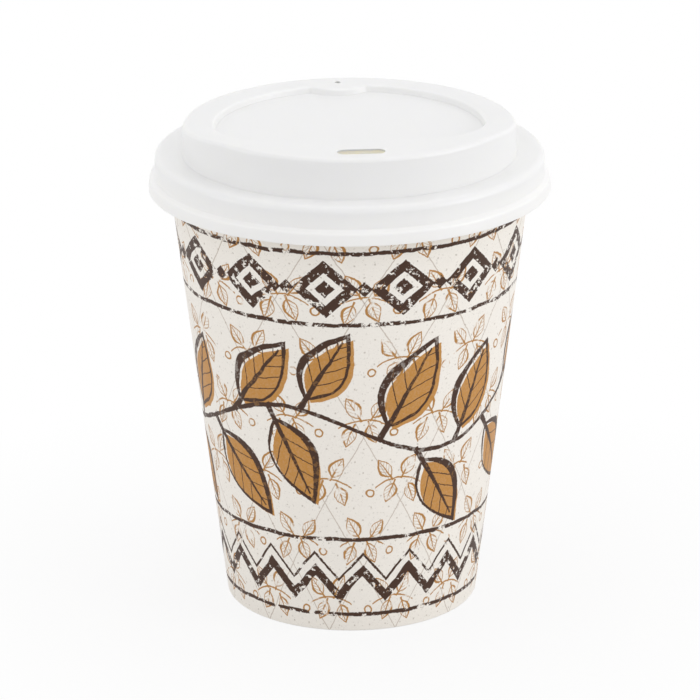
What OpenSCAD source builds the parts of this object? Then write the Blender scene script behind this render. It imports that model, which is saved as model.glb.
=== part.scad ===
// Paper hot-drink cup with a press-on sip lid, in millimetres.
// The cup is two paperboard blanks sealed together: a rolled sidewall and a
// recessed bottom. The lid is one formed plastic sheet that seats on the rim.
// Origin: centre of the foot, +Z up. The sip slot faces -Y, the side seam +Y.

/* [Cup] */
// Height of the cup without its lid
cup_h = 109; // [95:0.5:125]
// Outer diameter of the rolled rim
rim_d = 90; // [84:0.5:98]
// Outer diameter of the foot
base_d = 60; // [52:0.5:68]
// Thickness of the sidewall board
board = 0.4; // [0.3:0.05:0.6]
// Width across the rolled rim's section
curl_d = 2.5; // [2.2:0.1:3.4]
// Gap between the rolled edge and the wall
curl_gap = 0.2; // [0.1:0.05:0.4]

/* [Side seam] */
// Width of the lap where the sidewall overlaps itself, at the rim
seam_lap = 7; // [4:0.5:12]
// Gap between the lap's upper end and the rolled rim
seam_gap = 0.4; // [0.2:0.1:2]
// Height at which the lap ends above the table
seam_foot = 0.8; // [0.5:0.1:2]

/* [Foot] */
// Thickness of the bottom board
bottom_board = 0.3; // [0.2:0.05:0.5]
// Height of the bottom's upper face above the table
bottom_z = 8; // [6:0.5:14]
// Bend radius where the bottom turns down into its flange
bottom_bend = 0.8; // [0.5:0.1:1.5]
// Gap between the hem's upper edge and that bend
hem_gap = 1.4; // [0.5:0.1:2.5]
// Inside radius of the fold at the foot
fold_in = 0.05; // [0.02:0.01:0.1]
// Seal film on each side of the bottom's flange
seal = 0.05; // [0.03:0.01:0.1]
// Space under the flange's lower edge, inside the fold
flange_gap = 0.4; // [0.2:0.1:1]

/* [Lid skirt] */
// Thickness of the formed lid sheet
lid_sheet = 0.4; // [0.3:0.05:0.6]
// Clearance between the lid and the rolled rim
lid_gap = 0.25; // [0.15:0.05:0.5]
// Depth of the lip's lower edge below the rim's top
lip_drop = 7.9; // [7.6:0.1:12]
// Height of the lip's steep face
lip_h = 2.3; // [0.7:0.1:2.6]
// How far the lip's face leans in at its upper end
lip_lean = 0.4; // [0:0.1:0.6]
// How far the lip stands out from the skirt
lip_flare = 1.5; // [0.8:0.1:2.5]
// Depth below the rim's top where the skirt begins to flare
neck_drop = 4.4; // [3:0.1:4.7]
// Radius where the skirt turns into the lip, on the sheet's middle line
flare_r = 0.6; // [0.4:0.1:0.7]
// Radius of the lid's shoulder, on the sheet's middle line
shoulder_r = 1.4; // [0.6:0.1:1.8]
// Width of the slope from the shoulder down to the ledge
ledge_slope = 2; // [0.8:0.1:2.4]
// Depth of the ledge round the dome below the shoulder
ledge_drop = 0.2; // [0.2:0.05:0.8]
// Distance from the skirt's outside to the dome's wall
ledge_w = 6.6; // [6:0.1:9]

/* [Lid dome] */
// Height of the dome's level rear deck above the rim's top
dome_h = 7.05; // [4:0.05:12]
// Height of the level drinking deck above the rear deck
drink_rise = 2.95; // [0.5:0.05:5]
// Length of the ramp from the axis up to the drinking deck
ramp_l = 23; // [15:0.5:30]
// Radius of the dome's upper edge
dome_edge = 1; // [0.8:0.1:2.5]
// Width of the deck between the dome's edge and the recess
deck_w = 7.4; // [5:0.1:10]
// Width of the drinking deck in front of the recess
drink_w = 15; // [13:0.1:24]
// Radius of the recess's two front corners
recess_corner = 6; // [3:0.5:10]
// Depth of the recess below the level deck
recess_depth = 1.5; // [1:0.1:3.2]
// Radius of the tongue that the rear deck sends into the recess
tongue_r = 8; // [5:0.5:10]
// How far the tongue reaches past the recess's rear wall
tongue_reach = 3.6; // [1:0.1:5]

/* [Lid openings] */
// Length of the sip slot
sip_l = 11; // [8:0.5:16]
// Width of the sip slot
sip_w = 3.8; // [2.5:0.1:5]
// Distance of the sip slot's centre from the dome's front edge
sip_in = 6.15; // [5:0.05:9]
// Diameter of the vent hole
vent_d = 1.5; // [0.6:0.1:2]
// Distance of the vent hole from the dome's rear edge
vent_in = 4.6; // [3:0.1:6]

/* [Hidden] */
$fn = 128;
PAPER = [0.93, 0.92, 0.89];
BOTTOM_PAPER = [0.95, 0.95, 0.94];
PLASTIC = [0.96, 0.96, 0.96];
// Straight pieces in a small bend, in the rolled rim and round the dome
BEND_STEPS = 8;
CURL_STEPS = 36;
EDGE_STEPS = 4;
REAR_SIDES = 36;
RAMP_SIDES = 8;
DRINK_SIDES = 20;

// Sidewall: the board's middle line, from the fold at the foot to the rim
curl_mid_r = (curl_d - board) / 2;
curl_centre = [rim_d / 2 - curl_d / 2, cup_h - curl_d / 2];
curl_turn = 360 - acos((curl_mid_r - board / 2 - curl_gap) / (curl_mid_r + board / 2));
foot_corner = [base_d / 2 - board / 2, board / 2];
foot_to_curl = curl_centre - foot_corner;
wall_angle = atan2(foot_to_curl.y, foot_to_curl.x) + asin(curl_mid_r / norm(foot_to_curl));
wall_run = [cos(wall_angle), sin(wall_angle)];
wall_in = [-sin(wall_angle), cos(wall_angle)];
fold_r = fold_in + board / 2;
hem_shift = board + bottom_board + 2 * seal;
hem_h = bottom_z - bottom_board - bottom_bend - hem_gap;
flange_shift = (board + bottom_board) / 2 + seal;
seam_angle = seam_lap / (rim_d / 2) * 180 / PI;

// Lid: heights and radii taken from the rim that it seats on
skirt_r = rim_d / 2 + lid_gap + lid_sheet;
lip_z = cup_h - lip_drop;
neck_z = cup_h - neck_drop;
shoulder_z = cup_h + lid_gap + lid_sheet;
shoulder_w = curl_d + lid_gap;
ledge_z = shoulder_z - ledge_drop;
dome_r = skirt_r - ledge_w;
dome_z = cup_h + dome_h;
recess_r = dome_r - deck_w;
recess_front = dome_r - drink_w;
recess_z = dome_z - recess_depth;
deck_r = dome_r - dome_edge;
ramp_turn = asin(ramp_l / deck_r);

function unit(v) = v / norm(v);
function left_of(v) = [-v.y, v.x];
function reversed(list) = [for (i = [len(list) - 1:-1:0]) list[i]];
function tail(list) = [for (i = [1:len(list) - 1]) list[i]];

// Point on the wall's middle line, moved inward, at a given height
function wall_point(z, inward = 0) =
    let (start = foot_corner + inward * wall_in)
    start + (z - start.y) / wall_run.y * wall_run;

// Points of an arc round a centre, from one angle to another
function arc(centre, r, from, to, steps = BEND_STEPS) =
    [for (i = [0:steps]) let (a = from + (to - from) * i / steps) centre + r * [cos(a), sin(a)]];

// The rounded corner p of a line that comes from a and goes on to b
function bend(a, p, b, r) =
    let (back = unit(a - p), ahead = unit(b - p))
    let (half = acos(back * ahead) / 2, centre = p + r / sin(half) * unit(back + ahead))
    let (first = p + r / tan(half) * back - centre, last = p + r / tan(half) * ahead - centre)
    let (from = atan2(first.y, first.x), turn = atan2(last.y, last.x) - from)
    arc(centre, r, from, from + turn - 360 * round(turn / 360));

// A line moved sideways by d, with mitred corners
function beside(line, d) =
    [for (i = [0:len(line) - 1])
        let (at_start = i == 0, at_end = i == len(line) - 1)
        let (came = left_of(unit(at_start ? line[1] - line[0] : line[i] - line[i - 1])))
        let (goes = left_of(unit(at_end ? line[i] - line[i - 1] : line[i + 1] - line[i])))
        line[i] + d / (1 + came * goes) * (came + goes)];

// A sheet of thickness t, turned once round along its middle line
module turned_sheet(line, t) {
    rotate_extrude()
        polygon(concat(beside(line, t / 2), reversed(beside(line, -t / 2))));
}

// Sidewall: hem, fold, cone and rolled rim are one board, lapped at the seam
module cup_sidewall() {
    hem_corner = [foot_corner.x - hem_shift / wall_run.y, foot_corner.y];
    hem_top = wall_point(hem_h, hem_shift);
    curl_start = wall_angle + 90;
    middle_line = concat(
        [hem_top],
        bend(hem_top, hem_corner, foot_corner, fold_r),
        bend(hem_corner, foot_corner, foot_corner + wall_run, fold_r),
        arc(curl_centre, curl_mid_r, curl_start, curl_start - curl_turn, CURL_STEPS));
    lap_low = wall_point(seam_foot);
    lap_high = wall_point(cup_h - curl_d - seam_gap);
    lap_out = -(board / 2 + board) * wall_in;
    color(PAPER) union() {
        turned_sheet(middle_line, board);
        rotate([0, 0, 90 - seam_angle / 2])
            rotate_extrude(angle = seam_angle)
                polygon([lap_low, lap_low + lap_out, lap_high + lap_out, lap_high]);
    }
}

// Bottom: a disc whose edge turns down between the sidewall and its hem
module cup_bottom() {
    disc_z = bottom_z - bottom_board / 2;
    flange_low = wall_point(board + flange_gap, flange_shift);
    corner = wall_point(disc_z, flange_shift);
    centre = [0, disc_z];
    middle_line = concat([flange_low], bend(flange_low, corner, centre, bottom_bend), [centre]);
    color(BOTTOM_PAPER) turned_sheet(middle_line, bottom_board);
}

// Skirt of the lid: lip, flare, upright wall, shoulder and the ledge to the dome
module lid_skirt() {
    half = lid_sheet / 2;
    lip_low = [skirt_r + lip_flare - half, lip_z];
    lip_high = lip_low + [-lip_lean, lip_h];
    neck = [skirt_r - half, neck_z];
    shoulder = [skirt_r - half, shoulder_z - half];
    shoulder_in = shoulder - [shoulder_w, 0];
    ledge_out = [shoulder_in.x - ledge_slope, ledge_z - half];
    ledge_in = [deck_r, ledge_z - half];
    turned_sheet(concat(
        [lip_low],
        bend(lip_low, lip_high, neck, flare_r),
        bend(lip_high, neck, shoulder, flare_r),
        bend(neck, shoulder, shoulder_in, shoulder_r),
        [shoulder_in, ledge_out, ledge_in]), lid_sheet);
}

// Angles of the dome's sides: the rear deck, the ramp, the drinking deck and the ramp again
function share_out(from, to, sides) = [for (i = [0:sides - 1]) from + (to - from) * i / sides];
dome_turns = concat(
    share_out(0, 180, REAR_SIDES),
    share_out(180, 180 + ramp_turn, RAMP_SIDES),
    share_out(180 + ramp_turn, 360 - ramp_turn, DRINK_SIDES),
    share_out(360 - ramp_turn, 360, RAMP_SIDES));

// Height of the deck's edge at an angle: level at the rear, a ramp, and level again in front
function deck_z(a) = dome_z + drink_rise * min(1, max(0, -sin(a) * deck_r / ramp_l));

// The dome drawn in by inset: an upright wall, a rounded edge and the three flats of the deck
module dome(inset, low) {
    edge = dome_edge - inset;
    sides = len(dome_turns);
    foot = [for (a = dome_turns) [(dome_r - inset) * cos(a), (dome_r - inset) * sin(a), low]];
    rounding = [for (s = [0:EDGE_STEPS])
        let (bend = 90 * s / EDGE_STEPS, r = deck_r + edge * cos(bend), down = dome_edge - edge * sin(bend))
        [for (a = dome_turns) [r * cos(a), r * sin(a), deck_z(a) - down]]];
    rings = concat([foot], rounding);
    centre = len(rings) * sides;
    top = centre - sides;
    left = top + REAR_SIDES;
    drink = left + RAMP_SIDES;
    points = concat([for (ring = rings) each ring], [[0, 0, low]]);
    walls = [for (k = [0:len(rings) - 2], i = [0:sides - 1])
        let (a = k * sides + i, b = k * sides + (i + 1) % sides)
        each [[a, a + sides, b + sides], [a, b + sides, b]]];
    rear_deck = [for (i = [1:REAR_SIDES - 1]) [top, top + i + 1, top + i]];
    ramp = [for (i = [0:RAMP_SIDES - 1])
        let (right = top + (sides - i) % sides, next = top + sides - i - 1)
        each [[left + i, right, next], [left + i, next, left + i + 1]]];
    drink_deck = [for (i = [1:DRINK_SIDES - 1]) [drink, drink + i + 1, drink + i]];
    underside = [for (i = [0:sides - 1]) [centre, i, (i + 1) % sides]];
    polyhedron(points, concat(walls, rear_deck, ramp, drink_deck, underside));
}

// Outline of the recess: a round with a straight front and a tongue at the rear
module recess_outline(grow) {
    corner_y = recess_corner - recess_front;
    reach = recess_r - recess_corner;
    corner_x = sqrt(reach * reach - corner_y * corner_y);
    touch = atan2(corner_y, corner_x);
    r = recess_corner + grow;
    difference() {
        polygon(concat(
            tail(arc([0, 0], recess_r + grow, touch, 180 - touch, 2 * REAR_SIDES)),
            tail(arc([-corner_x, corner_y], r, 180 - touch, 270)),
            arc([corner_x, corner_y], r, -90, touch)));
        translate([0, recess_r - tongue_reach + tongue_r]) circle(tongue_r - grow);
    }
}

// The recess pressed into the dome, grown outward and downward by grow
module recess(grow) {
    translate([0, 0, recess_z - grow])
        linear_extrude(recess_depth + dome_r) recess_outline(grow);
}

// Sip slot with round ends through the drinking deck
module sip_slot() {
    reach = (sip_l - sip_w) / 2;
    translate([0, sip_in - dome_r, dome_z + drink_rise]) {
        for (side = [-1, 1])
            translate([side * reach, 0, 0]) cylinder(d = sip_w, h = dome_h, center = true);
        cube([2 * reach, sip_w, dome_h], center = true);
    }
}

// Round vent through the rear deck
module vent_hole() {
    translate([0, dome_r - vent_in, dome_z]) cylinder(d = vent_d, h = dome_h, center = true);
}

// Lid: one formed sheet from the lip to the recess, with its two openings
module lid() {
    color(PLASTIC) difference() {
        union() {
            lid_skirt();
            dome(0, ledge_z - lid_sheet);
        }
        difference() {
            dome(lid_sheet, lip_z);
            recess(lid_sheet);
        }
        recess(0);
        sip_slot();
        vent_hole();
    }
}

cup_sidewall();
cup_bottom();
lid();
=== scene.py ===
import math

import bmesh
import bpy
from mathutils import Euler, Matrix, Vector


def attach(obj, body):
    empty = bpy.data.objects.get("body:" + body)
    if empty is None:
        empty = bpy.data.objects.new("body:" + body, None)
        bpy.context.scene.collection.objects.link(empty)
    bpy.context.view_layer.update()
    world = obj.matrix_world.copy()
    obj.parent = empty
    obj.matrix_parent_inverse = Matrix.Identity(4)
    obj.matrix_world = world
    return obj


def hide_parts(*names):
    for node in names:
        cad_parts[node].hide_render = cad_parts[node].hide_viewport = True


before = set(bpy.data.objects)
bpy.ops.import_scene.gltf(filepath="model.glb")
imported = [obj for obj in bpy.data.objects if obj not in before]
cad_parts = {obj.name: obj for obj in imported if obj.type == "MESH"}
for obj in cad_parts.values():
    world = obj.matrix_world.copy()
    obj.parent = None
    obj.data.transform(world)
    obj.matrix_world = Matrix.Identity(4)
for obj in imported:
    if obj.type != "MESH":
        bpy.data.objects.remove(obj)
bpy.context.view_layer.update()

# The camera of the picture: a long lens in front of the cup, a little to its left and about
# 20 degrees above it, with a slight lean, aimed close to the middle of the cup's axis.
mm = 0.001
side_turn = math.radians(-4.6)
look_down = math.radians(19.6)
lean = math.radians(-0.304)
aim = Vector((-0.15 * mm, 0, 59.72 * mm))
stand_off = 1015.5 * mm
level = math.cos(look_down)
towards = Vector((level * math.sin(side_turn), -level * math.cos(side_turn), math.sin(look_down)))
upright = Euler((math.pi / 2 - look_down, 0, side_turn)).to_matrix()
pointing = (upright @ Matrix.Rotation(lean, 3, "Z")).to_euler()
bpy.ops.object.select_all(action="DESELECT")
bpy.ops.object.camera_add(location=aim + stand_off * towards, rotation=pointing)
camera = bpy.context.object
camera.name = "camera"
camera.data.lens = 219.5
camera.data.sensor_width = 36
bpy.context.scene.camera = camera
bpy.context.scene.view_settings.view_transform = "Standard"

# The sidewall: one fan-shaped blank of coated board, printed outside, wrapped to a cone and
# heat-sealed where it laps at the back. Its upper edge is rolled outward into the rim, and its
# lower edge is folded in and up as a hem that grips the bottom's flange.
board = 0.4 * mm
board_crease = math.radians(40)
foot_r = 30 * mm
rim_r = 45 * mm
cup_h = 109 * mm
roll_r = 1.25 * mm
roll_sweep = math.radians(301)
roll_steps = 40
hem_in = 0.8 * mm
hem_top = 5.5 * mm
fold_r = 0.25 * mm
fold_steps = 6
foot_corner = Vector((foot_r - board / 2, board / 2))
roll_centre = Vector((rim_r - roll_r, cup_h - roll_r))
roll_mid = roll_r - board / 2
to_roll = roll_centre - foot_corner
slant = math.atan2(to_roll.y, to_roll.x) + math.asin(roll_mid / to_roll.length)
up_wall = Vector((math.cos(slant), math.sin(slant)))
off_wall = Vector((math.sin(slant), -math.cos(slant)))


def wall_at(height, out=0.0):
    start = foot_corner + out * off_wall
    return start + (height - start.y) / up_wall.y * up_wall


def rounded(before, corner, after, radius, steps):
    back = (before - corner).normalized()
    ahead = (after - corner).normalized()
    half = back.angle(ahead) / 2
    centre = corner + radius / math.sin(half) * (back + ahead).normalized()
    first = corner + radius / math.tan(half) * back - centre
    last = corner + radius / math.tan(half) * ahead - centre
    start = math.atan2(first.y, first.x)
    sweep = math.atan2(last.y, last.x) - start
    sweep -= math.tau * round(sweep / math.tau)
    turns = [start + sweep * k / steps for k in range(steps + 1)]
    return [centre + radius * Vector((math.cos(a), math.sin(a))) for a in turns]


def turned(name, line, steps):
    bpy.ops.object.select_all(action="DESELECT")
    bpy.ops.mesh.primitive_plane_add(size=mm, location=(line[0].x, 0, line[0].y))
    piece = bpy.context.object
    piece.name = name
    piece.data.name = name
    bpy.ops.object.transform_apply(location=True, rotation=True, scale=True)
    bpy.ops.object.mode_set(mode="EDIT")
    bpy.ops.mesh.merge(type="CENTER")
    for here, there in zip(line, line[1:]):
        step = (there.x - here.x, 0, there.y - here.y)
        bpy.ops.mesh.extrude_vertices_move(TRANSFORM_OT_translate={"value": step})
    bpy.ops.mesh.select_all(action="SELECT")
    bpy.ops.mesh.spin(steps=steps, angle=math.tau, center=(0, 0, 0), axis=(0, 0, 1))
    bpy.ops.mesh.select_all(action="SELECT")
    bpy.ops.mesh.remove_doubles(threshold=0.002 * mm)
    bpy.ops.mesh.normals_make_consistent(inside=False)
    bpy.ops.object.mode_set(mode="OBJECT")
    return piece


def picked(piece, *others):
    bpy.ops.object.select_all(action="DESELECT")
    for one in (piece, *others):
        one.select_set(True)
    bpy.context.view_layer.objects.active = piece


def thickened(piece, thickness, inner_slot=0):
    picked(piece)
    sheet = piece.modifiers.new("sheet", "SOLIDIFY")
    sheet.thickness = thickness
    sheet.offset = 0
    sheet.use_even_offset = True
    sheet.use_quality_normals = True
    sheet.material_offset = inner_slot
    bpy.ops.object.modifier_apply(modifier=sheet.name)


hem_corner = Vector((foot_corner.x - hem_in / up_wall.y, foot_corner.y))
roll_start = slant + math.pi / 2
roll_turns = [roll_start - roll_sweep * k / roll_steps for k in range(roll_steps + 1)]
wall_line = [wall_at(hem_top, -hem_in), wall_at(hem_top / 2, -hem_in)]
wall_line += rounded(wall_line[1], hem_corner, foot_corner, fold_r, fold_steps)
wall_line += rounded(hem_corner, foot_corner, foot_corner + up_wall, fold_r, fold_steps)
wall_line += [wall_at(z * mm) for z in (8, 20, 40, 60, 80, 100)]
wall_line += [roll_centre + roll_mid * Vector((math.cos(a), math.sin(a))) for a in roll_turns]
sidewall = turned("sidewall", wall_line, 384)
thickened(sidewall, board)

# Fine ribs that the sealing roller presses into the hem, inside the foot.
rib_count = 96
rib_height = 0.0018
rib_low = 0.7 * mm
rib_high = 5 * mm
for v in sidewall.data.vertices:
    inner_face = wall_at(v.co.z, -hem_in - board / 2).x
    if rib_low < v.co.z < rib_high and v.co.xy.length < inner_face + 0.1 * mm:
        v.co.xy *= 1 + rib_height * math.cos(rib_count * math.atan2(v.co.y, v.co.x))

# The lap of the seam: the blank's outer end lies one board proud along its free edge and runs
# into the wall at the other side, where the edge of the inner end is pressed half a board in.
lap_angle = 7 * mm / rim_r
lap_rise = 0.35
lap_sunk = 0.04 * board
for side, stand, low, high in (
    (1, board, 0.8 * mm, 106.1 * mm),
    (-1, board / 2, 8.2 * mm, 107.6 * mm),
):
    bpy.ops.object.select_all(action="DESELECT")
    bpy.ops.mesh.primitive_grid_add(x_subdivisions=24, y_subdivisions=12, size=1)
    lap = bpy.context.object
    lap.name = "lap"
    for v in lap.data.vertices:
        rise = min(1.0, (0.5 - v.co.x) / lap_rise)
        proud = side * (stand * rise * rise * (3 - 2 * rise) - lap_sunk)
        place = wall_at(low + (high - low) * (v.co.y + 0.5), proud)
        turn = math.pi / 2 + side * lap_angle * v.co.x
        v.co = (place.x * math.cos(turn), place.x * math.sin(turn), place.y)
    thickened(lap, board)
    picked(sidewall, lap)
    bpy.ops.object.join()
bpy.ops.object.shade_smooth_by_angle(angle=board_crease)


def fed(tree, socket, value):
    if isinstance(value, bpy.types.NodeSocket):
        tree.links.new(value, socket)
    elif socket.type == "RGBA":
        socket.default_value = (*value, 1)
    else:
        socket.default_value = value


def sums(tree, operation, *values, clamp=False):
    node = tree.nodes.new("ShaderNodeMath")
    node.operation = operation
    node.use_clamp = clamp
    for socket, value in zip(node.inputs, values):
        fed(tree, socket, value)
    return node.outputs[0]


def noise(tree, place, scale, detail, roughness=0.5):
    node = tree.nodes.new("ShaderNodeTexNoise")
    node.inputs["Scale"].default_value = scale
    node.inputs["Detail"].default_value = detail
    node.inputs["Roughness"].default_value = roughness
    tree.links.new(place, node.inputs["Vector"])
    return node.outputs["Fac"]


def laid_over(tree, under, mask, colour):
    node = tree.nodes.new("ShaderNodeMix")
    node.data_type = "RGBA"
    tree.links.new(mask, node.inputs["Factor"])
    fed(tree, node.inputs[6], under)
    fed(tree, node.inputs[7], colour)
    return node.outputs[2]


def material(name, roughness):
    made = bpy.data.materials.new(name)
    made.use_nodes = True
    tree = made.node_tree
    shader = tree.nodes["Principled BSDF"]
    shader.inputs["Roughness"].default_value = roughness
    place = tree.nodes.new("ShaderNodeTexCoord").outputs["Object"]
    return made, tree, shader, place


def embossed(tree, shader, height, strength):
    bump = tree.nodes.new("ShaderNodeBump")
    bump.inputs["Strength"].default_value = strength
    bump.inputs["Distance"].default_value = 0.02 * mm
    tree.links.new(height, bump.inputs["Height"])
    tree.links.new(bump.outputs["Normal"], shader.inputs["Normal"])


def faced(piece, *materials):
    piece.data.materials.clear()
    for one in materials:
        piece.data.materials.append(one)


def group(name, inputs, outputs):
    made = bpy.data.node_groups.new(name, "ShaderNodeTree")
    for label, kind in inputs:
        made.interface.new_socket(label, in_out="INPUT", socket_type=kind)
    for label, kind in outputs:
        made.interface.new_socket(label, in_out="OUTPUT", socket_type=kind)
    start = made.nodes.new("NodeGroupInput")
    end = made.nodes.new("NodeGroupOutput")
    return made, start.outputs, end.inputs


def placed(tree, made, **values):
    node = tree.nodes.new("ShaderNodeGroup")
    node.node_tree = made
    for label, value in values.items():
        fed(tree, node.inputs[label.replace("_", " ")], value)
    return node.outputs


# Pressed fibres under the board's coating: long soft clouds and a short fleck.
fibre, given, out = group(
    "board_fibre",
    [("Place", "NodeSocketVector")],
    [("Height", "NodeSocketFloat"), ("Tone", "NodeSocketFloat")],
)
cloud = noise(fibre, given["Place"], 260, 3)
fleck = noise(fibre, given["Place"], 2300, 4, 0.65)
fibre.links.new(sums(fibre, "MULTIPLY_ADD", cloud, 0.6, fleck), out["Height"])
fibre.links.new(sums(fibre, "MULTIPLY_ADD", fleck, 2.2, -0.6, clamp=True), out["Tone"])

# One leaf drawn with a brush, in millimetres on the unrolled blank: a pointed outline that is
# heavier on its upper side, a middle rib that runs on as the stalk, and side ribs.
leaf_inputs = ("Along", "Up", "Leaf Along", "Leaf Up", "Turn", "Reach", "Width", "Pen")
leaf, given, out = group(
    "brush_leaf",
    [(label, "NodeSocketFloat") for label in leaf_inputs],
    [("Fill", "NodeSocketFloat"), ("Line", "NodeSocketFloat")],
)


def inside(tree, signed, soft=0.14):
    return sums(tree, "MULTIPLY_ADD", signed, -1 / soft, 0.5, clamp=True)


def stripe(tree, distance, half_width, soft=0.14):
    return inside(tree, sums(tree, "SUBTRACT", sums(tree, "ABSOLUTE", distance), half_width), soft)


def largest(tree, first, *others):
    for other in others:
        first = sums(tree, "MAXIMUM", first, other)
    return first


def off_middle(tree, repeat, width):
    share = sums(tree, "SUBTRACT", sums(tree, "FRACT", repeat), 0.5)
    return sums(tree, "MULTIPLY", share, width)


turn_cos = sums(leaf, "COSINE", given["Turn"])
turn_sin = sums(leaf, "SINE", given["Turn"])
from_along = sums(leaf, "SUBTRACT", given["Along"], given["Leaf Along"])
from_up = sums(leaf, "SUBTRACT", given["Up"], given["Leaf Up"])
lengthwise = sums(leaf, "MULTIPLY", from_up, turn_sin)
lengthwise = sums(leaf, "MULTIPLY_ADD", from_along, turn_cos, lengthwise)
sideways = sums(leaf, "MULTIPLY", from_along, turn_sin)
sideways = sums(leaf, "SUBTRACT", sums(leaf, "MULTIPLY", from_up, turn_cos), sideways)
share = sums(leaf, "DIVIDE", lengthwise, given["Reach"])
taper = sums(leaf, "SUBTRACT", 1, sums(leaf, "MULTIPLY", share, share))
fuller = sums(leaf, "MAXIMUM", sums(leaf, "MULTIPLY_ADD", share, -0.3, 1), 0.1)
bulge = sums(leaf, "MULTIPLY", given["Width"], sums(leaf, "MULTIPLY", taper, fuller))
off_rib = sums(leaf, "ABSOLUTE", sideways)
off_edge = sums(leaf, "SUBTRACT", off_rib, bulge)
body = inside(leaf, off_edge)
heavy = sums(leaf, "MULTIPLY_ADD", sums(leaf, "DIVIDE", sideways, given["Width"]), 0.5, 1)
outline = stripe(leaf, off_edge, sums(leaf, "MULTIPLY", heavy, given["Pen"]))
rib_width = sums(leaf, "MULTIPLY_ADD", share, -0.4, 0.7)
rib = stripe(leaf, sideways, sums(leaf, "MULTIPLY", rib_width, given["Pen"]))
rib = sums(leaf, "MULTIPLY", rib, sums(leaf, "GREATER_THAN", share, -1.4))
rib = sums(leaf, "MULTIPLY", rib, sums(leaf, "LESS_THAN", share, 0.8))
rung_gap = sums(leaf, "MULTIPLY", given["Reach"], 0.4)
rungs = sums(leaf, "DIVIDE", sums(leaf, "MULTIPLY_ADD", off_rib, -1.2, lengthwise), rung_gap)
side_rib_width = sums(leaf, "MULTIPLY", given["Pen"], 0.32)
side_ribs = stripe(leaf, off_middle(leaf, rungs, rung_gap), side_rib_width)
side_ribs = sums(leaf, "MULTIPLY", side_ribs, body)
leaf.links.new(body, out["Fill"])
leaf.links.new(largest(leaf, outline, rib, side_ribs), out["Line"])

# The print: brown bands of lozenges and zigzags, a garland of leaves between them with ochre
# fills set a little off their outlines, and tan sprigs, pin dots and a fine trellis behind, all
# in worn ink on off-white. Its lengths are in millimetres, and every line wavers as by hand.
paper_shade = (0.887, 0.845, 0.784)
paper_light = (0.93, 0.888, 0.827)
speck_grey = (0.42, 0.38, 0.33)
dot_brown = (0.33, 0.27, 0.21)
trellis_brown = (0.3, 0.2, 0.13)
sprig_tan = (0.456, 0.223, 0.061)
leaf_ochre = (0.533, 0.250, 0.0545)
ink_brown = (0.06, 0.027, 0.015)
printed, tree, shader, place = material("printed_board", 0.48)
shader.inputs["Specular IOR Level"].default_value = 0.25
pressed = placed(tree, fibre, Place=place)
axes = tree.nodes.new("ShaderNodeSeparateXYZ")
tree.links.new(place, axes.inputs[0])
back = sums(tree, "MULTIPLY", axes.outputs["Y"], -1)
round_share = sums(tree, "DIVIDE", sums(tree, "ARCTAN2", axes.outputs["X"], back), math.tau)
height = sums(tree, "DIVIDE", axes.outputs["Z"], mm)
waver = sums(tree, "SUBTRACT", noise(tree, place, 170, 2), 0.5)
bleed = sums(tree, "SUBTRACT", noise(tree, place, 1500, 2), 0.5)
drawn_height = sums(tree, "MULTIPLY_ADD", waver, 1.1, height)
drawn_height = sums(tree, "MULTIPLY_ADD", bleed, 0.35, drawn_height)
drawn_round = sums(tree, "MULTIPLY_ADD", waver, -0.0045, round_share)
drawn_round = sums(tree, "MULTIPLY_ADD", bleed, 0.0014, drawn_round)


def repeats(count, width, shift=0.0):
    return off_middle(tree, sums(tree, "MULTIPLY_ADD", drawn_round, count, shift), width)


def above(height):
    return sums(tree, "SUBTRACT", drawn_height, height)


def lozenge(across, upward, wide, tall):
    slope = sums(tree, "ABSOLUTE", upward)
    slope = sums(tree, "MULTIPLY_ADD", sums(tree, "ABSOLUTE", across), tall / wide, slope)
    return sums(tree, "SUBTRACT", slope, tall)


def rules(upward, apart):
    return stripe(tree, sums(tree, "SUBTRACT", sums(tree, "ABSOLUTE", upward), apart), 0.5)


# Upper band.
lozenge_count = 14
lozenge_pitch = 18.3
across = repeats(lozenge_count, lozenge_pitch)
between = repeats(lozenge_count, lozenge_pitch, 0.5)
upward = above(88.6)
frame_shape = stripe(tree, sums(tree, "ADD", lozenge(across, upward, 7.8, 7.0), 1.5), 1.5)
heart = inside(tree, lozenge(across, upward, 2.4, 2.2))
beads = inside(tree, lozenge(between, upward, 1.9, 1.9))
upper_band = largest(tree, frame_shape, heart, beads, rules(upward, 8.9))

# Lower band.
zigzag = sums(tree, "ABSOLUTE", repeats(18, 14.0))
bold = stripe(tree, sums(tree, "SUBTRACT", above(9.2), zigzag), 1.6)
fine = stripe(tree, sums(tree, "SUBTRACT", above(13.6), zigzag), 0.45)
lower_band = largest(tree, bold, fine, rules(above(14.4), 9.9))

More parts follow.
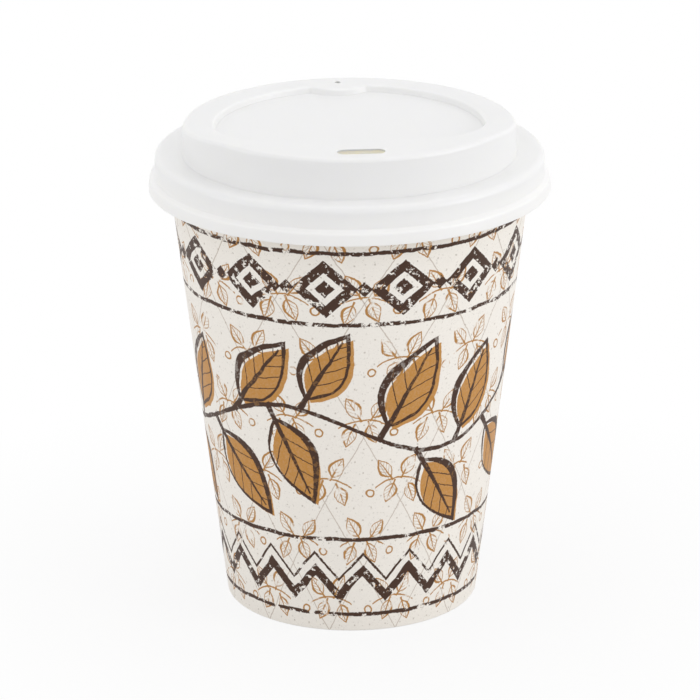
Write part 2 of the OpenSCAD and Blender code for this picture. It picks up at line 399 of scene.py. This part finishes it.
# Garland.
garland_pitch = 75.4
garland_z = 52
swing = 6
stalk = 1.35
along = repeats(3, garland_pitch)
wave = sums(tree, "SINE", sums(tree, "MULTIPLY", along, math.tau / garland_pitch))
wave = sums(tree, "MULTIPLY", wave, swing)
garland = stripe(tree, sums(tree, "SUBTRACT", above(garland_z), wave), 0.55)
fills = None
for start, turn_deg, reach, width in (
    (-34, 62, 11.5, 5.6),
    (-25, -58, 10.5, 5.2),
    (-14, 70, 10.5, 5.2),
    (-4, -50, 11.5, 5.6),
    (5, 52, 10.5, 5.2),
    (15, -66, 11.0, 5.4),
    (23, 60, 9.5, 4.8),
):
    turn = math.radians(turn_deg)
    stem_z = garland_z + swing * math.sin(start * math.tau / garland_pitch)
    leaf_along = start + stalk * reach * math.cos(turn)
    leaf_up = stem_z + stalk * reach * math.sin(turn)
    shape = {"Turn": turn, "Reach": reach, "Width": width, "Pen": 0.62}
    shape.update(Along=along, Up=drawn_height)
    stroke = placed(tree, leaf, Leaf_Along=leaf_along, Leaf_Up=leaf_up, **shape)
    wash = placed(tree, leaf, Leaf_Along=leaf_along + 1.1, Leaf_Up=leaf_up - 0.9, **shape)
    garland = largest(tree, garland, stroke["Line"])
    fills = largest(tree, fills, wash["Fill"]) if fills else wash["Fill"]

# Trellis, of fine straight lines.
lattice = None
for side in (-1, 1):
    slanted = sums(tree, "MULTIPLY", drawn_round, 12)
    slanted = sums(tree, "MULTIPLY_ADD", height, side / 34, slanted)
    thin = stripe(tree, off_middle(tree, slanted, 17), 0.12)
    lattice = largest(tree, lattice, thin) if lattice else thin


# Rows of which every other one steps along by half a repeat.
def stepped(count, width, row_gap):
    row = sums(tree, "DIVIDE", drawn_height, row_gap)
    odd = sums(tree, "MODULO", sums(tree, "FLOOR", row), 2)
    column = sums(tree, "MULTIPLY_ADD", odd, 0.5, sums(tree, "MULTIPLY", drawn_round, count))
    return off_middle(tree, column, width), off_middle(tree, row, row_gap), odd


def reach_from(along, up):
    squares = sums(tree, "ADD", sums(tree, "POWER", along, 2), sums(tree, "POWER", up, 2))
    return sums(tree, "SQRT", squares)


# Sprigs of four small leaves and a berry, in rows that step and face the other way.
sprig_along, sprig_up, odd = stepped(13, 17.8, 15.5)
facing = sums(tree, "MULTIPLY_ADD", odd, -2, 1)
sprig_along = sums(tree, "MULTIPLY", sprig_along, facing)
arch = sums(tree, "MULTIPLY", sprig_along, sprig_along)
arch = sums(tree, "MULTIPLY_ADD", arch, -0.06, 1.4)
twig = sums(tree, "LESS_THAN", sums(tree, "ABSOLUTE", sprig_along), 6)
sprigs = stripe(tree, sums(tree, "SUBTRACT", sprig_up, arch), 0.2)
sprigs = sums(tree, "MULTIPLY", sprigs, twig)
for leaf_along, leaf_up, turn_deg, reach, width in (
    (-3.6, 3.9, 125, 2.6, 1.5),
    (-2.2, -2.4, -110, 2.6, 1.5),
    (2.6, 4.4, 60, 2.8, 1.6),
    (3.4, -3.0, -70, 2.6, 1.5),
):
    shape = {"Turn": math.radians(turn_deg), "Reach": reach, "Width": width, "Pen": 0.21}
    shape.update(Along=sprig_along, Up=sprig_up)
    small = placed(tree, leaf, Leaf_Along=leaf_along, Leaf_Up=leaf_up, **shape)
    sprigs = largest(tree, sprigs, small["Line"])
berry = reach_from(sums(tree, "ADD", sprig_along, 7.2), sums(tree, "ADD", sprig_up, 2.2))
sprigs = largest(tree, sprigs, stripe(tree, sums(tree, "SUBTRACT", berry, 0.9), 0.2))

# Pin dots between the sprigs.
dot_along, dot_up, odd = stepped(52, 4.45, 3.1)
dots = inside(tree, sums(tree, "SUBTRACT", reach_from(dot_along, dot_up), 0.22))

# Worn ink: chips broken out of the brown, thinner ink in the tan, and a fine grey speckle.
chips = noise(tree, place, 620, 6, 0.68)
patches = noise(tree, place, 70, 2)
worn = sums(tree, "MULTIPLY_ADD", patches, -0.22, sums(tree, "ADD", chips, -0.46))
kept = inside(tree, worn, 0.03)
brown = sums(tree, "MULTIPLY", largest(tree, upper_band, lower_band), kept)
drawing = sums(tree, "MULTIPLY", garland, sums(tree, "MULTIPLY_ADD", kept, 0.25, 0.75))
grain = noise(tree, place, 1900, 3, 0.7)
whole = inside(tree, sums(tree, "SUBTRACT", noise(tree, place, 330, 3), 0.6), 0.1)
specks = sums(tree, "MULTIPLY", sums(tree, "GREATER_THAN", grain, 0.63), 0.35)
inked = sums(tree, "MULTIPLY_ADD", grain, 0.3, 0.82, clamp=True)
ink = laid_over(tree, paper_shade, pressed["Tone"], paper_light)
ink = laid_over(tree, ink, specks, speck_grey)
ink = laid_over(tree, ink, sums(tree, "MULTIPLY", dots, 0.45), dot_brown)
ink = laid_over(tree, ink, sums(tree, "MULTIPLY", lattice, 0.5), trellis_brown)
ink = laid_over(tree, ink, sums(tree, "MULTIPLY", sprigs, whole), sprig_tan)
ink = laid_over(tree, ink, sums(tree, "MULTIPLY", fills, inked), leaf_ochre)
ink = laid_over(tree, ink, largest(tree, brown, drawing), ink_brown)
tree.links.new(ink, shader.inputs["Base Color"])
embossed(tree, shader, pressed["Height"], 0.25)

# The bare board, inside the cup and on the rolled rim.
coated, tree, shader, place = material("coated_board", 0.42)
pressed = placed(tree, fibre, Place=place)
board_white = laid_over(tree, (0.87, 0.857, 0.82), pressed["Tone"], (0.905, 0.892, 0.855))
tree.links.new(board_white, shader.inputs["Base Color"])
embossed(tree, shader, pressed["Height"], 0.2)

faced(sidewall, printed, coated)
print_top = 106.6 * mm
for face in sidewall.data.polygons:
    middle = face.center
    outward = face.normal.xy.dot(middle.xy.normalized())
    on_wall = middle.xy.length > wall_at(middle.z, 0.3 * board).x
    face.material_index = 0 if outward > 0.3 and on_wall and middle.z < print_top else 1
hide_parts("cup_sidewall")
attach(sidewall, "cup")

# The bottom: a disc of the same board, unprinted, set up inside the foot. Its edge is turned
# down as a flange and sealed between the sidewall and the hem.
bottom_board = 0.3 * mm
bottom_z = 8 * mm
flange_in = 0.4 * mm
disc_z = bottom_z - bottom_board / 2
flange_low = wall_at(0.8 * mm, -flange_in)
disc_edge = wall_at(disc_z, -flange_in)
disc_middle = Vector((0, disc_z))
disc_line = [flange_low] + rounded(flange_low, disc_edge, disc_middle, 0.8 * mm, 6)
disc_line += [Vector((r * mm, disc_z)) for r in (24, 16, 8)] + [disc_middle]
bottom = turned("bottom", disc_line, 192)
thickened(bottom, bottom_board)
bpy.ops.object.shade_smooth_by_angle(angle=board_crease)
faced(bottom, coated)
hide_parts("cup_bottom")
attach(bottom, "cup")

# The lid: one thin sheet of white plastic, formed hot over a mould, so every edge is rounded.
# Its lip, skirt and shoulder grip the rim. The dome's deck ramps up to a level drinking deck in
# front and holds a recess for drips to run back to. The sip slot and the vent are punched last.
sheet = 0.4 * mm
half = sheet / 2
skirt_r = 45.65 * mm
lip_r = 47.15 * mm
lip_low = Vector((lip_r - half, 101.1 * mm))
lip_high = lip_low + Vector((-0.3 * mm, 2.5 * mm))
neck = Vector((skirt_r - half, 104.5 * mm))
shoulder = Vector((skirt_r - half, 109.65 * mm - half))
shoulder_in = shoulder - Vector((2.75 * mm, 0))
ledge_out = Vector((shoulder_in.x - 2 * mm, 109.45 * mm - half))
dome_r = 39.05 * mm
dome_foot = Vector((dome_r - half, ledge_out.y))
flare_bend = 0.6 * mm
shoulder_bend = 1.4 * mm
ledge_bend = 6 * mm
dome_foot_bend = 0.5 * mm
dome_edge = 0.8 * mm
deck_back = 116.05 * mm - half
drink_rise = 2.95 * mm
ramp_l = 23 * mm
recess_r = 31.65 * mm
recess_front = 24.05 * mm
recess_z = 114.55 * mm - half
recess_bend = 0.4 * mm
recess_draft = 0.15 * mm
tongue_y = 36.05 * mm
tongue_r = 8 * mm


def nearer(a, b, blend):
    mix = max(blend - abs(a - b), 0) / blend
    return min(a, b) - mix * mix * blend / 4


def deck_at(y):
    ramp = -nearer(0, drink_rise * y / ramp_l, 0.5 * mm)
    return deck_back + nearer(ramp, drink_rise, 0.3 * mm)


def recess_at(turn, grow):
    edge = recess_r + grow
    if math.sin(turn) < -0.1:
        edge = nearer(edge, (recess_front + grow) / -math.sin(turn), 2.6 * mm)
    in_tongue = (tongue_r - grow) ** 2 - (tongue_y * math.cos(turn)) ** 2
    if math.sin(turn) > 0 and in_tongue > 0:
        edge = nearer(edge, tongue_y * math.sin(turn) - math.sqrt(in_tongue), 1.8 * mm)
    return edge


def drawn_up(place):
    bpy.ops.mesh.extrude_edges_move()
    shell = bmesh.from_edit_mesh(lid.data)
    for v in shell.verts:
        if v.select:
            turn = math.atan2(v.co.y, v.co.x)
            r, z = place(turn)
            v.co = (r * math.cos(turn), r * math.sin(turn), z)
    bmesh.update_edit_mesh(lid.data)


skirt_line = [lip_low + Vector((0, 0.3 * mm))]
skirt_line += rounded(lip_low, lip_high, neck, flare_bend, 5)
skirt_line += rounded(lip_high, neck, shoulder, flare_bend, 5)
skirt_line += rounded(neck, shoulder, shoulder_in, shoulder_bend, 9)
skirt_line += rounded(shoulder, shoulder_in, ledge_out, ledge_bend, 3)
skirt_line += rounded(shoulder_in, ledge_out, dome_foot, ledge_bend, 3)
skirt_line += rounded(ledge_out, dome_foot, dome_foot + Vector((0, mm)), dome_foot_bend, 5)
bpy.ops.object.select_all(action="DESELECT")
bpy.ops.mesh.primitive_circle_add(vertices=360, radius=lip_low.x, location=(0, 0, lip_low.y))
lid = bpy.context.object
lid.name = "lid_shell"
lid.data.name = "lid_shell"
bpy.ops.object.transform_apply(location=True, rotation=True, scale=True)
bpy.ops.object.mode_set(mode="EDIT")
bpy.ops.mesh.select_all(action="SELECT")
for point in skirt_line:
    drawn_up(lambda turn: (point.x, point.y))

# The dome's rounded upper edge follows the rising deck, and the deck runs in to the recess.
for k in range(9):
    bend = math.pi / 2 * k / 8
    ring_r = dome_foot.x - dome_edge * (1 - math.cos(bend))
    drop = dome_edge * (1 - math.sin(bend))
    drawn_up(lambda turn: (ring_r, deck_at(ring_r * math.sin(turn)) - drop))
for share in (0.3, 0.6, 0.85):

    def deck_ring(turn):
        r = ring_r + share * (recess_at(turn, 0.7 * mm) - ring_r)
        return r, deck_at(r * math.sin(turn))

    drawn_up(deck_ring)

# The recess: a rolled upper edge, a wall with a little draft, a rolled foot and a level floor.
for k in range(8):
    bend = math.pi / 2 * k / 7

    def upper_ring(turn):
        r = recess_at(turn, recess_draft + recess_bend * (1 - math.sin(bend)))
        return r, deck_at(r * math.sin(turn)) - recess_bend * (1 - math.cos(bend))

    drawn_up(upper_ring)
for k in range(8):
    bend = math.pi / 2 * k / 7
    grow = -recess_draft - recess_bend * (1 - math.cos(bend))
    ring_z = recess_z + recess_bend * (1 - math.sin(bend))
    drawn_up(lambda turn: (recess_at(turn, grow), ring_z))
for share in (0.75, 0.4, 0.1):
    drawn_up(lambda turn: (share * recess_at(turn, grow), recess_z))
bpy.ops.mesh.extrude_edges_move()
bpy.ops.mesh.merge(type="CENTER")
bpy.ops.mesh.select_all(action="SELECT")
bpy.ops.mesh.normals_make_consistent(inside=False)
bpy.ops.object.mode_set(mode="OBJECT")


def sheet_plastic(name, shade, clearer, roughness, scatter):
    made, tree, shader, place = material(name, roughness)
    flow = noise(tree, place, 90, 3)
    grain = noise(tree, place, 1400, 2)
    satin = sums(tree, "MULTIPLY_ADD", flow, 0.12, roughness - 0.06)
    tree.links.new(laid_over(tree, shade, flow, clearer), shader.inputs["Base Color"])
    tree.links.new(satin, shader.inputs["Roughness"])
    embossed(tree, shader, sums(tree, "MULTIPLY_ADD", grain, 0.4, flow), 0.08)
    weight, radius, reach = scatter
    shader.inputs["IOR"].default_value = 1.55
    shader.inputs["Subsurface Weight"].default_value = weight
    shader.inputs["Subsurface Radius"].default_value = radius
    shader.inputs["Subsurface Scale"].default_value = reach
    return made


# White outside. The inner face is a brighter, warmer copy of the same plastic that scatters much
# further: painted warm light coming through the sheet, seen where the slot shows the underside.
outer_scatter = (0.6, (1, 1, 0.9), 0.8 * mm)
painted_through_light_scatter = (1, (1, 0.65, 0.25), 20 * mm)
plastic = sheet_plastic(
    "lid_plastic", (0.917, 0.915, 0.9), (0.927, 0.925, 0.91), 0.34, outer_scatter
)
# Painted light: a lit, warmer copy of the lid plastic, used for the sheet's inner face.
painted_through_light_plastic = sheet_plastic(
    "lid_plastic_inside_painted_through_light", (0.985, 0.965, 0.885), (0.99, 0.97, 0.895), 0.42, painted_through_light_scatter
)
faced(lid, plastic, painted_through_light_plastic)
thickened(lid, sheet, inner_slot=1)

# The punches: a slot with round ends for the drinking deck and a pin for the vent.
slot_reach = 3.6 * mm
slot_y = -32.9 * mm
vent_y = 34.45 * mm
bpy.ops.object.select_all(action="DESELECT")
bpy.ops.mesh.primitive_cylinder_add(
    vertices=48, radius=1.9 * mm, depth=8 * mm, location=(0, slot_y, deck_at(slot_y))
)
slot_punch = bpy.context.object
slot_punch.name = "slot_punch"
for v in slot_punch.data.vertices:
    v.co = Matrix.Rotation(math.pi / 48, 3, "Z") @ v.co
    v.co.x += math.copysign(slot_reach, v.co.x)
bpy.ops.object.select_all(action="DESELECT")
bpy.ops.mesh.primitive_cylinder_add(
    vertices=32, radius=0.75 * mm, depth=6 * mm, location=(0, vent_y, deck_back)
)
vent_punch = bpy.context.object
vent_punch.name = "vent_punch"
picked(lid)
for punch in (slot_punch, vent_punch):
    hole = lid.modifiers.new("hole", "BOOLEAN")
    hole.operation = "DIFFERENCE"
    hole.solver = "EXACT"
    hole.object = punch
    bpy.ops.object.modifier_apply(modifier=hole.name)
bpy.ops.object.shade_smooth_by_angle(angle=math.radians(35))
bpy.data.objects.remove(slot_punch)
bpy.data.objects.remove(vent_punch)

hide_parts("lid")
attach(lid, "lid")

# The studio: a white sweep under the cup, which stays white to the camera and keeps a soft
# shadow, a broad lamp high on the right, a weaker one on the left and one overhead.
bpy.ops.object.select_all(action="DESELECT")
bpy.ops.mesh.primitive_plane_add(size=6, location=(0, 0, -0.02 * mm))
floor = bpy.context.object
floor.name = "floor"
floor.data.name = "floor"
bpy.ops.object.transform_apply(location=True, rotation=True, scale=True)


def shown(tree):
    rays = tree.nodes.new("ShaderNodeLightPath")
    seen = sums(tree, "MAXIMUM", rays.outputs["Is Camera Ray"], rays.outputs["Is Glossy Ray"])
    return sums(tree, "MAXIMUM", seen, rays.outputs["Is Transmission Ray"])


def blended(tree, share, first, second, output):
    mixed = tree.nodes.new("ShaderNodeMixShader")
    tree.links.new(share, mixed.inputs["Fac"])
    tree.links.new(first.outputs[0], mixed.inputs[1])
    tree.links.new(second.outputs[0], mixed.inputs[2])
    tree.links.new(mixed.outputs[0], tree.nodes.new(output).inputs["Surface"])


# The sweep glows white to the camera, less so near the cup, where the shadow lies.
sweep = bpy.data.materials.new("white_sweep")
sweep.use_nodes = True
tree = sweep.node_tree
tree.nodes.clear()
paper = tree.nodes.new("ShaderNodeBsdfDiffuse")
paper.inputs["Color"].default_value = (0.82, 0.82, 0.82, 1)
glow = tree.nodes.new("ShaderNodeEmission")
glow.inputs["Strength"].default_value = 1
spread = tree.nodes.new("ShaderNodeVectorMath")
spread.operation = "LENGTH"
tree.links.new(tree.nodes.new("ShaderNodeTexCoord").outputs["Object"], spread.inputs[0])
whiter = sums(tree, "MULTIPLY_ADD", spread.outputs["Value"], 1.6, 0.78, clamp=True)
white_share = sums(tree, "MULTIPLY", shown(tree), whiter)
blended(tree, white_share, paper, glow, "ShaderNodeOutputMaterial")
floor.data.materials.append(sweep)

lit_point = Vector((0, 0, 60 * mm))
for name, at, size, power in (
    ("key_lamp", (1.15, -0.45, 0.55), 0.6, 3.6),
    ("fill_lamp", (-1.15, -0.25, 0.5), 0.6, 1.4),
    ("top_lamp", (0.1, 0.2, 1.3), 0.8, 1.05),
):
    facing = (Vector(at) - lit_point).to_track_quat("Z", "Y").to_euler()
    bpy.ops.object.select_all(action="DESELECT")
    bpy.ops.object.light_add(type="AREA", location=at, rotation=facing)
    lamp = bpy.context.object
    lamp.name = name
    lamp.data.size = size
    lamp.data.energy = power

# The room: an even white all round, at a plain level for the light and full white to the camera.
world = bpy.data.worlds.new("white_room")
bpy.context.scene.world = world
world.use_nodes = True
tree = world.node_tree
tree.nodes.clear()
room = tree.nodes.new("ShaderNodeBackground")
room.inputs["Color"].default_value = (1, 1, 1, 1)
room.inputs["Strength"].default_value = 0.84
white = tree.nodes.new("ShaderNodeBackground")
white.inputs["Color"].default_value = (1, 1, 1, 1)
white.inputs["Strength"].default_value = 1
blended(tree, shown(tree), room, white, "ShaderNodeOutputWorld")
